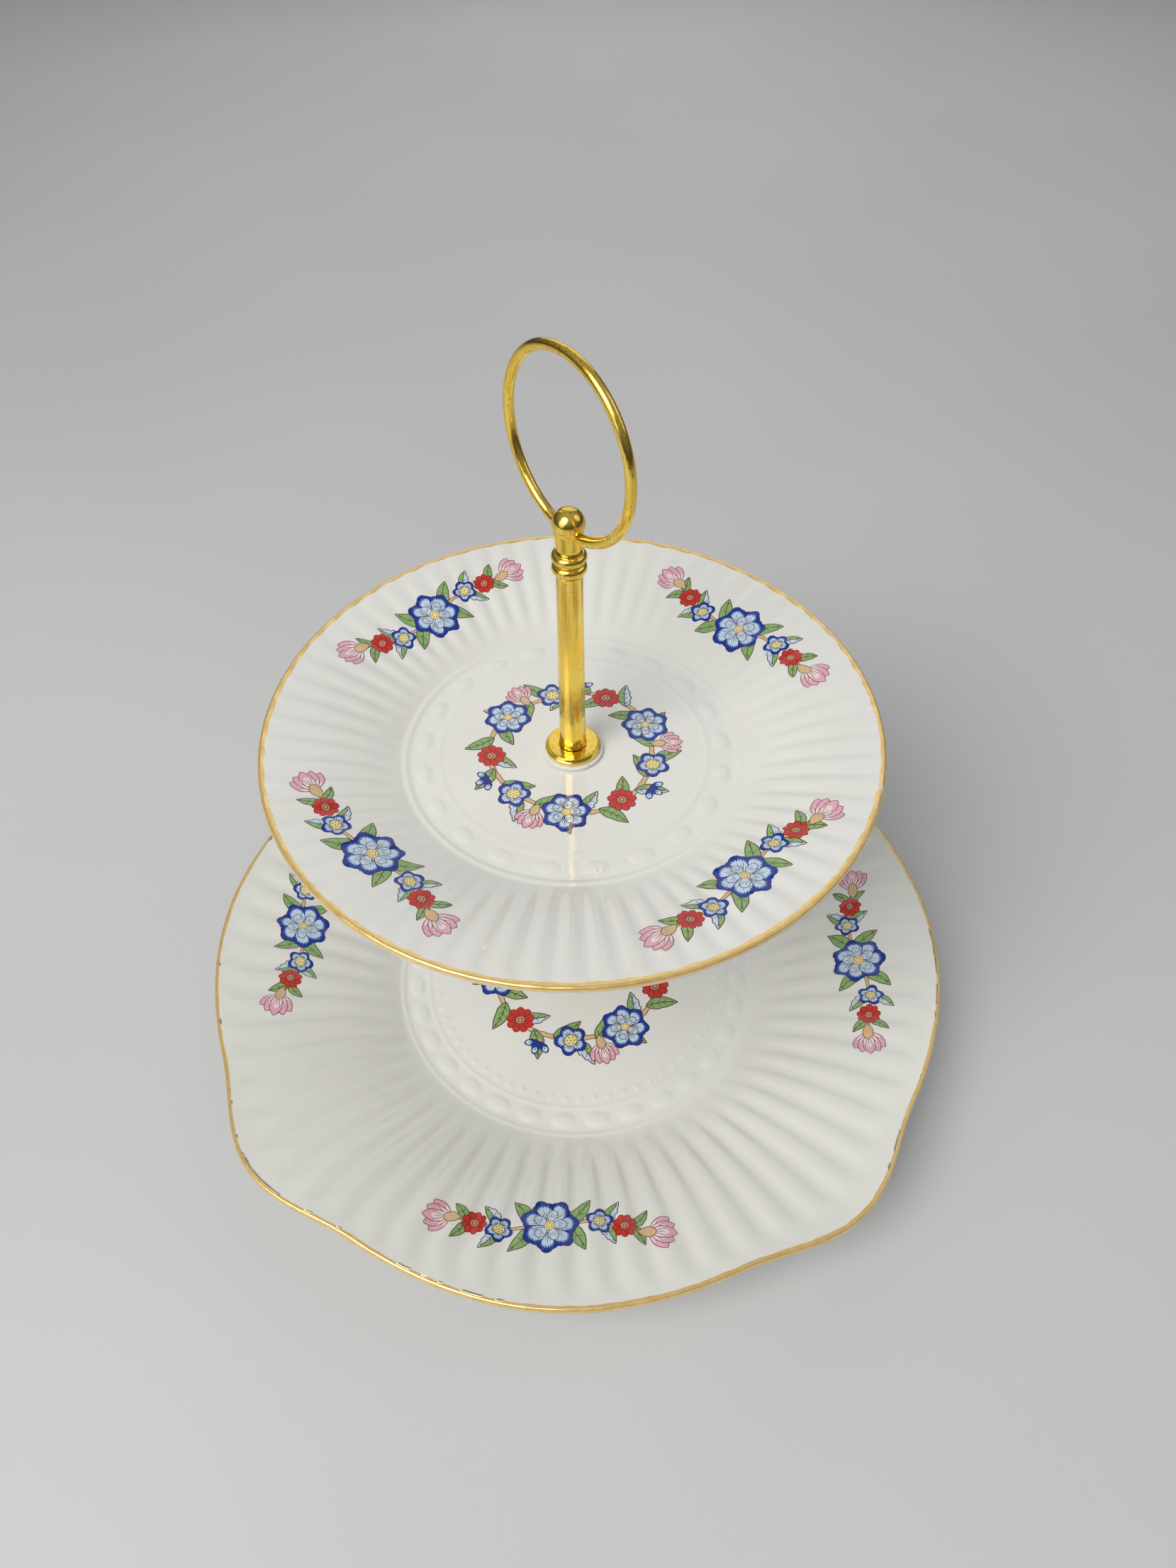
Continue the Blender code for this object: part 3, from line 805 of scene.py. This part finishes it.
def at(direction, distance=1.0):
    """The step of a length in a direction."""
    turn = math.radians(direction)
    return np.array([math.cos(turn), math.sin(turn)]) * distance


def facing(vector):
    """The direction of a step."""
    return math.degrees(math.atan2(vector[1], vector[0]))


def rotation(direction):
    """A matrix for row vectors, turning them by direction."""
    c, s = math.cos(math.radians(direction)), math.sin(math.radians(direction))
    return np.array([[c, s], [-s, c]])


def ellipse(long, wide, count=24):
    """Outline of an ellipse round the origin, with its half axes."""
    turn = np.linspace(0, TAU, count, endpoint=False)
    return np.stack([long * np.cos(turn), wide * np.sin(turn)], -1)


def smooth_path(points):
    """A smooth curve through points (Catmull-Rom), sampled evenly enough."""
    points = np.array(points, float)
    padded = np.vstack([2 * points[0] - points[1], points, 2 * points[-1] - points[-2]])
    path = []
    for a, b, c, d in zip(padded, padded[1:], padded[2:], padded[3:]):
        count = max(2, int(np.linalg.norm(c - b) / PATH_STEP) + 1)
        for t in np.linspace(0, 1, count, endpoint=False):
            path.append(0.5 * (2 * b + (c - a) * t + (2 * a - 5 * b + 4 * c - d) * t ** 2
                               + (3 * b - a - 3 * c + d) * t ** 3))
    path.append(points[-1])
    return np.array(path)


def inside(points, outline):
    """Which points a closed outline winds around."""
    x, y = points[:, :1], points[:, 1:]
    a, b = outline, np.roll(outline, -1, 0)
    rise = np.where(a[:, 1] == b[:, 1], 1e-12, b[:, 1] - a[:, 1])
    left = x < a[:, 0] + (y - a[:, 1]) / rise * (b[:, 0] - a[:, 0])
    upward = (a[:, 1] <= y) & (b[:, 1] > y) & left
    downward = (a[:, 1] > y) & (b[:, 1] <= y) & left
    return upward.sum(1) != downward.sum(1)


class Drawing:
    """Flat artwork in which each shape covers the ones before it."""

    def __init__(self, grain):
        self.grain = grain           # size of the triangles, small enough to follow the glaze
        self.shapes = []

    def fill(self, outline, ink_name):
        """A flat patch of one ink."""
        self.shapes.append((np.asarray(outline, float), ink_name))

    def line(self, path, width, ink_name="outline", ends=(1.0, 1.0)):
        """A pen stroke whose width at each end is a share of width."""
        path = np.asarray(path, float)
        side = left_of(np.gradient(path, axis=0))
        side /= np.maximum(np.linalg.norm(side, axis=1, keepdims=True), 1e-9)
        t = np.linspace(0, 1, len(path))[:, None]
        share = np.minimum(1, np.minimum(ends[0] + t * 5, ends[1] + (1 - t) * 5))
        half = 0.5 * width * share * side
        self.fill(np.vstack([path + half, (path - half)[::-1]]), ink_name)

    def loop(self, outline, width, ink_name="outline"):
        """A pen stroke all round an outline."""
        self.line(np.vstack([outline, outline[:1]]), width, ink_name)

    def inked(self, outline, ink_name, width, line_name="outline"):
        """A flat patch with a pen stroke all round it."""
        self.fill(outline, ink_name)
        self.loop(outline, width, line_name)

    def patches(self):
        """Triangles that cover the drawing once, with the ink that is on top in each."""
        points, edges = [], []
        for outline, _ in self.shapes:
            first, count = len(points), len(outline)
            points.extend(outline)
            edges.extend((first + i, first + (i + 1) % count) for i in range(count))
        corners = np.array(points)
        xs = np.arange(corners[:, 0].min(), corners[:, 0].max(), self.grain)
        ys = np.arange(corners[:, 1].min(), corners[:, 1].max(), self.grain)
        points.extend((x, y) for x in xs for y in ys)
        made = delaunay_2d_cdt([Vector(p) for p in points], edges, [], 0, 1e-4)
        points, faces = np.array([tuple(p) for p in made[0]]), np.array(made[2])
        middles = points[faces].mean(1)
        inks = np.full(len(faces), -1)
        for outline, ink_name in self.shapes:
            near = ((middles > outline.min(0)) & (middles < outline.max(0))).all(1).nonzero()[0]
            inks[near[inside(middles[near], outline)]] = ink_names.index(ink_name)
        faces, inks = faces[inks >= 0], inks[inks >= 0]
        a, b, c = (points[faces[:, i]] for i in range(3))
        twice_area = (b - a)[:, 0] * (c - a)[:, 1] - (b - a)[:, 1] * (c - a)[:, 0]
        solid = np.abs(twice_area) > 1e-7
        faces = np.where(twice_area[:, None] > 0, faces, faces[:, ::-1])
        return points, faces[solid], inks[solid]


# Motifs

def leaf(art, base, tip, width, inks, teeth, bend, vein_count):
    """A leaf from base to tip with a midrib; inks are its left and right halves' colours."""
    base, tip = np.array(base, float), np.array(tip, float)
    axis = tip - base
    length, across = np.linalg.norm(axis), left_of(unit(axis))
    t = np.linspace(0, 1, 33)[:, None]
    rib = base + axis * t + across * bend * length * np.sin(math.pi * t)
    swell = np.sin(math.pi * t ** 0.80) ** 0.90
    edges = []
    for side, ink_name in ((1, inks[0]), (-1, inks[1])):
        cut = 0.0
        if teeth and ink_name == "pale_blue":
            cut = 0.36 * ((t * teeth) % 1) - 0.14
        elif teeth:
            cut = 0.10 * np.abs(np.sin(t * teeth * math.pi / 2)) - 0.05
        edge = rib + side * across * 0.45 * width * swell * (1 + cut)
        art.fill(np.vstack([rib, edge[-2:0:-1]]), ink_name)
        edges.append((side, edge))
    for side, edge in edges:
        art.line(edge, 0.25)
        for i in range(vein_count):
            start = int(32 * (0.14 + 0.62 * i / (vein_count - 1))) + (1 if side > 0 else 0)
            foot, reach = rib[start], edge[min(start + 5, 31)]
            middle = foot + 0.42 * (reach - foot) + 0.02 * axis
            end = foot + 0.70 * (reach - foot) + 0.01 * axis
            art.line([foot, middle, end], 0.17, ends=(1, 0.3))
    art.line(rib[:30], 0.22, ends=(1, 0.4))


def petal(base, direction, length, width, blunt=0.5, lobes=0, depth=0.0, count=36):
    """Outline of a petal that grows from base; lobes cuts its outer edge into rounded parts."""
    turn = np.linspace(-math.pi, math.pi, count, endpoint=False)
    reach = 1 / np.sqrt((np.cos(turn) / (length / 2)) ** 2 + (np.sin(turn) / (width / 2)) ** 2)
    if lobes:
        outer = smooth_step((np.cos(turn) + 0.55) * 2.5)
        reach = reach * (1 - depth * outer * (1 - np.abs(np.cos(turn * lobes / 2)) ** 0.7))
    x, y = reach * np.cos(turn), reach * np.sin(turn)
    pinch = 0.45 + 0.55 * np.clip((x / (length / 2) + 1) / (0.4 + blunt), 0, 1) ** 0.8
    y = np.where(x < 0, y * pinch, y)
    along, across = at(direction), at(direction + 90)
    return np.array(base, float) + (x + length / 2)[:, None] * along + y[:, None] * across


def flame(base, direction, length, width, spikes, depth, seed):
    """A brushed patch in a petal whose outer edge breaks into strokes."""
    count = 2 * spikes
    outline = petal(base, direction, length, width, blunt=0.4, count=count)
    turn = np.linspace(-math.pi, math.pi, count, endpoint=False)
    draw = np.random.default_rng(seed)
    notch = np.where(np.arange(count) % 2, draw.uniform(0.45, 1.0, count), 0)
    outer = smooth_step((np.cos(turn) + 0.75) * 1.4)
    middle = np.array(base, float) + at(direction) * length * 0.40
    return middle + (outline - middle) * (1 - depth * outer * notch)[:, None]


def veins(art, base, direction, spread, start, end, count, width=0.17):
    """Strokes that fan out from a petal's base."""
    for i, turn in enumerate(np.linspace(-spread / 2, spread / 2, count)):
        reach = end * (1 - 0.18 * (i % 2))
        a = np.array(base) + at(direction + turn, start)
        b = np.array(base) + at(direction + turn * 1.1, reach)
        art.line(np.linspace(a, b, 4), width, ends=(1, 0.3))


def blue_petal(art, centre, direction, reach, width, start, seed, lobes=5, spikes=22, pale=0.78):
    """A dark blue petal from start to reach, with a brushed pale middle."""
    base = np.array(centre, float) + at(direction, start)
    length = reach - start
    edge = petal(base, direction, length, width, blunt=0.7, lobes=lobes, depth=0.17, count=44)
    art.inked(edge, "deep_blue", 0.16, "navy")
    art.fill(flame(base, direction, (pale + 0.06) * length, (pale + 0.02) * width, spikes,
                   0.28, seed), "mid_blue")
    art.fill(flame(base, direction, pale * length, (pale - 0.06) * width, spikes, 0.26,
                   seed + 50), "pale_blue")
    veins(art, base, direction, 44, 0.12 * length, 0.62 * length, 5)


def pale_lobe(art, base, direction, length, width):
    """A small pale petal with an inked edge and a few strokes."""
    edge = petal(base, direction, length, width, blunt=0.8, lobes=3, depth=0.12, count=28)
    art.inked(edge, "pale_blue", 0.19)
    veins(art, base, direction, 40, 0.42 * length, 0.80 * length, 4, 0.15)


def big_flower(art, centre, size=1.0, turn=0.0):
    """An even blue flower: seven petals, five pale lobes and a dotted yellow eye."""
    centre = np.array(centre, float)
    for i in range(7):
        blue_petal(art, centre, turn + 360 * i / 7, 9.6 * size, 7.4 * size, 1.3 * size, 11 + i)
    for i in range(5):
        direction = turn + 26 + 72 * i
        pale_lobe(art, centre + at(direction, 1.0 * size), direction, 4.6 * size, 3.6 * size)
    art.inked(centre + ellipse(1.7 * size, 1.7 * size), "yellow", 0.15)
    for i in range(6):
        spot = centre + at(turn + 60 * i, 0.95 * size) + ellipse(0.24 * size, 0.24 * size, count=8)
        art.fill(spot, "red")


def blue_flower(art, centre, radius, turn):
    """A small five-petalled flower with a dotted yellow centre."""
    centre = np.array(centre, float)
    for i in range(5):
        blue_petal(art, centre, turn + 72 * i, radius, 0.92 * radius, 0.12 * radius, 31 + i,
                   lobes=3, spikes=12, pale=0.74)
    heart = centre + ellipse(0.38 * radius, 0.36 * radius, count=20)
    art.inked(heart, "yellow", 0.15)
    for i in range(7):
        place = centre + (at(turn + 60 * i, 0.22 * radius) if i else 0)
        art.fill(place + ellipse(0.18, 0.18, count=8), "outline")


def daisy(art, centre, radius):
    """A red daisy with a ringed cream centre."""
    centre = np.array(centre, float)
    for i in range(9):
        direction = 15 + 40 * i
        edge = petal(centre + at(direction, 0.15 * radius), direction, 0.85 * radius,
                     0.60 * radius, blunt=1.0, count=18)
        art.inked(edge, "red", 0.17, "dark_red")
        veins(art, centre, direction, 10, 0.36 * radius, 0.66 * radius, 2, 0.13)
    for share, name in ((0.30, "tan"), (0.19, "red"), (0.12, "tan")):
        spot = centre + ellipse(share * radius, 0.9 * share * radius, count=18)
        art.inked(spot, name, 0.12)


def pointed(base, tip, width):
    """Outline of a petal that is widest past its middle and ends in a point."""
    base, tip = np.array(base, float), np.array(tip, float)
    axis = tip - base
    t = np.linspace(0, 1, 15)[:, None]
    swell = 0.5 * width * np.sin(math.pi * t ** 1.15) ** 0.75 + 0.10 * width * (1 - t)
    side = left_of(unit(axis)) * swell
    return np.vstack([base + axis * t + side, (base + axis * t - side)[-2::-1]])


def pink_petal(art, base, tip, width):
    """A pointed pink petal that is paler at its base."""
    base, tip = np.array(base, float), np.array(tip, float)
    axis = tip - base
    length = np.linalg.norm(axis)
    edge = pointed(base, tip, width)
    art.fill(edge, "pink")
    art.fill(pointed(base, base + 0.70 * axis, 0.80 * width), "pale_pink")
    art.loop(edge, 0.21, "plum")
    veins(art, base, facing(axis), 26, 0.20 * length, 0.66 * length, 3, 0.16)


def bell(art, centre, direction, size):
    """A pink bell flower seen from the side: a fan of pointed petals in a tan cup."""
    centre = np.array(centre, float)
    for turn in (-42, 42, -21, 21, 0):
        reach = size * (1 - 0.10 * abs(turn) / 42)
        pink_petal(art, centre, centre + at(direction + turn, reach), 0.44 * size)
    cup = petal(centre - at(direction, 0.42 * size), direction, 0.66 * size, 0.40 * size, count=20)
    art.inked(cup, "tan", 0.18)


def branch(art, points, width, end_width):
    """Draws a knotty branch's outline, and returns the shape to fill."""
    path = smooth_path(points)
    count = len(path)
    along = np.arange(count) * PATH_STEP
    knots = 1 + 0.14 * np.sin(along * 2.3) + 0.08 * np.sin(along * 5.1)
    half = 0.5 * np.linspace(width, end_width, count) * knots
    side = left_of(np.gradient(path, axis=0))
    side = side / np.linalg.norm(side, axis=1, keepdims=True) * half[:, None]
    outline = np.vstack([path + side, (path - side)[::-1]])
    art.loop(outline, 0.36)
    return outline


def branches(art, *each):
    """Tan branches that run into one another: all outlines first, then all fills."""
    for outline in [branch(art, *values) for values in each]:
        art.fill(outline, "tan")


def small_bud(art, centre, radius, direction):
    """A half-open flower with dark blue petals."""
    base = np.array(centre, float) - at(direction, 0.8 * radius)
    cap = petal(base - at(direction, 0.5 * radius), direction, 0.9 * radius, 0.8 * radius,
                count=16)
    art.inked(cap, "tan", 0.15)
    for turn in (-60, 60, 0):
        edge = petal(base, direction + turn, 2.0 * radius, 1.0 * radius, blunt=0.7, count=24)
        art.inked(edge, "deep_blue", 0.15, "navy")
        tip = base + at(direction + turn, 0.95 * radius)
        patch = flame(tip, direction + turn, 0.92 * radius, 0.74 * radius, 8, 0.3, 77)
        art.fill(patch, "pale_blue")
        veins(art, tip, direction + turn, 20, 0.1 * radius, 0.55 * radius, 2, 0.12)


LEAF_INKS = (("green", "green"), ("green", "pale_blue"), ("green", "green"))


def garland(art, half_length, sway, count, leaf_length):
    """A stem in one S along x, with pairs of leaves that get smaller towards its ends."""
    x = np.linspace(-half_length, half_length, 13)
    y = sway * np.sin(math.pi * x / half_length)
    stem = np.stack([x, y], -1)
    branches(art, (stem[:7][::-1], 0.9, 0.4), (stem[6:], 0.9, 0.4))
    for i in range(count):
        share = (i + 0.5) / count * 2 - 1
        place = np.array([share * half_length, sway * math.sin(math.pi * share)])
        outward = 0 if share > 0 else 180
        length = leaf_length * (1 - 0.45 * abs(share))
        for side in (-1, 1):
            lean = side * 52 if share > 0 else -side * 52
            tip = place + at(outward + lean, length)
            leaf(art, place, tip, 0.46 * length, LEAF_INKS[i % 3], 4, 0.06 * side, 3)


def border_spray():
    """The garland on the walls: its big flower at the origin, roughly outward along +Y."""
    art = Drawing(0.75)
    garland(art, 27, 2.2, 6, 10.5)
    for side in (-1, 1):
        bell(art, (side * 27.5, 0.2), 90 - side * 90, 7.6)
        blue_flower(art, (side * 13.6, side * 2.4), 3.9, 90 * side)
        daisy(art, (side * 20.6, side * 1.2), 3.5)
    big_flower(art, (0, 0), 0.86, 90)
    return art


def centre_spray():
    """A wreath in the well round the post: flowers and leaves in three equal parts."""
    art = Drawing(1.5)
    ring = WREATH_RADIUS
    for part in range(3):
        start = 120 * part + 30
        path = [at(start + turn, ring + 0.7 * math.sin(math.radians(3 * turn)))
                for turn in range(0, 121, 10)]
        branches(art, (path, 1.0, 0.9))
    for i in range(24):
        direction = 15 * i + 37.5
        side = 1 if i % 2 else -1
        place = at(direction, ring)
        tip = place + at(direction + 90 - side * 50, 8.0)
        leaf(art, place, tip, 3.6, LEAF_INKS[i % 3], 4, 0.06 * side, 4)
    for part in range(3):
        start = 120 * part + 30
        big_flower(art, at(start, ring), 0.62, start)
        daisy(art, at(start + 40, ring), 3.5)
        blue_flower(art, at(start + 80, ring), 4.1, start)
        small_bud(art, at(start + 60, ring + 3.6), 1.8, start + 60)
        bell(art, at(start + 100, ring + 1.6), start + 100, 5.6)
    return art


SPRAY_LEAN = -90                 # a spray's length runs along the rim
BORDER = {                       # radius, first direction and size of a plate's four sprays
    "upper_plate": (71.5, 45, 1.05),
    "lower_plate": (106.0, 0, 1.15),
}
UPPER_CENTRE = ((0, 0), 0, 1.25)
LOWER_CENTRE = ((0, 0), 40, 1.55)


def draped(name, plate, patches, placements):
    """Copies of a drawing laid on a plate, each at (centre, direction, size)."""
    flat, faces, inks = patches
    points, all_faces, all_inks = [], [], []
    first = 0
    for (centre_x, centre_y), direction, size in placements:
        spread = (flat * size) @ rotation(direction) + (centre_x, centre_y)
        clear = np.linalg.norm(spread[faces].mean(1), axis=1) > PRINT_HOLE
        used, corners = np.unique(faces[clear], return_inverse=True)
        spread = spread[used]
        height = plate.height_at(spread[:, 0], spread[:, 1]) + PRINT_LIFT
        points.append(np.hstack([spread, height[:, None]]))
        all_faces.append(corners.reshape(-1, 3) + first)
        all_inks.append(inks[clear])
        first += len(spread)
    mesh = bpy.data.meshes.new(name)
    mesh.from_pydata(np.vstack(points) * MM, [], np.vstack(all_faces).tolist())
    mesh.polygons.foreach_set("material_index", np.concatenate(all_inks).astype(np.int32))
    mesh.update()
    printed = new_object(name, mesh, ink_materials)
    return printed


border, centre_print = border_spray().patches(), centre_spray().patches()
for plate in (upper, lower):
    radius, first, size = BORDER[plate.node]
    placements = [(polar(radius, first + 90 * i).xy, first + 90 * i + SPRAY_LEAN, size)
                  for i in range(4)]
    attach(draped(plate.node + "_border_sprays", plate, border, placements), plate.node)
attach(draped("upper_plate_centre_spray", upper, centre_print, [UPPER_CENTRE]), "upper_plate")
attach(draped("lower_plate_centre_spray", lower, centre_print, [LOWER_CENTRE]), "lower_plate")


# ---------------------------------------------------------------------------
# Stage: floor, lights and camera

FLOOR_SIZE = 8.0                 # metres, like all lengths of the lights
LIGHT_TARGET = Vector((0, 0, 0.12))
LIGHTS = (                       # name, direction, elevation, distance, size, power, colour
    ("key", 235, 50, 1.4, 0.9, 12.6, (1.0, 0.99, 0.96)),
    ("low", 225, 25, 1.5, 1.1, 2.8, (1.0, 0.99, 0.97)),
    ("back", 92, 28, 1.5, 1.4, 2.9, (0.99, 1.0, 1.0)),
    ("fill", 10, 40, 1.4, 0.9, 1.2, (0.98, 0.99, 1.0)),
)
HORIZON = (0.10, 0.09, 0.085)
SKY = (0.75, 0.76, 0.78)
SKY_START = 0.8                  # how high the sky reaches its full colour: 1 is overhead
SKY_STRENGTH = 0.43
CAMERA_TURN = -84.30             # direction of the camera from the post
CAMERA_DISTANCE = 229.25
CAMERA_HEIGHT = 377.0
CAMERA_HEADING = 94.57
CAMERA_PITCH = -48.48
CAMERA_ROLL = -0.33
CAMERA_LENS = 24.97              # with Blender's 36 mm sensor along the picture's long side


def build_floor():
    """A wide flat floor at the height that the stand rests on."""
    bpy.ops.mesh.primitive_plane_add(size=FLOOR_SIZE)
    floor = bpy.context.active_object
    floor.name = "floor"
    floor.data.materials.append(floor_paint())


def add_light(name, direction, elevation, distance, size, power, colour):
    """A round soft light, its distance and size in metres and its power in watts."""
    data = bpy.data.lights.new(name, "AREA")
    data.shape = "DISK"
    data.size = size
    data.energy = power
    data.color = colour
    light = bpy.data.objects.new(name, data)
    bpy.context.scene.collection.objects.link(light)
    rise = math.radians(elevation)
    away = polar(distance * math.cos(rise), direction, distance * math.sin(rise))
    light.location = LIGHT_TARGET + away
    aim = LIGHT_TARGET - light.location
    light.rotation_euler = aim.to_track_quat("-Z", "Y").to_euler()


def build_lights():
    """The soft lights, and a sky that is pale above and dark at the horizon."""
    for values in LIGHTS:
        add_light(*values)
    world = bpy.data.worlds.new("studio")
    world.use_nodes = True
    bpy.context.scene.world = world
    nodes, links = world.node_tree.nodes, world.node_tree.links
    background = nodes["Background"]
    place = nodes.new("ShaderNodeTexCoord")
    split = nodes.new("ShaderNodeSeparateXYZ")
    ramp = nodes.new("ShaderNodeValToRGB")
    links.new(place.outputs["Generated"], split.inputs["Vector"])
    links.new(split.outputs["Z"], ramp.inputs["Fac"])
    for stop, colour, position in zip(ramp.color_ramp.elements, (HORIZON, SKY), (0.0, SKY_START)):
        stop.color = (*colour, 1)
        stop.position = position
    links.new(ramp.outputs["Color"], background.inputs["Color"])
    background.inputs["Strength"].default_value = SKY_STRENGTH


def build_camera():
    """The camera, close above the stand's front."""
    data = bpy.data.cameras.new("camera")
    data.lens = CAMERA_LENS
    camera = bpy.data.objects.new("camera", data)
    bpy.context.scene.collection.objects.link(camera)
    turn = (Matrix.Rotation(math.radians(CAMERA_HEADING - 90), 4, "Z")
            @ Matrix.Rotation(math.radians(90 + CAMERA_PITCH), 4, "X")
            @ Matrix.Rotation(math.radians(CAMERA_ROLL), 4, "Z"))
    place = polar(CAMERA_DISTANCE, CAMERA_TURN, CAMERA_HEIGHT) * MM
    camera.matrix_world = Matrix.Translation(place) @ turn
    data.clip_start = 0.01
    bpy.context.scene.camera = camera


build_floor()
build_lights()
build_camera()
bpy.context.scene.view_settings.view_transform = "Standard"
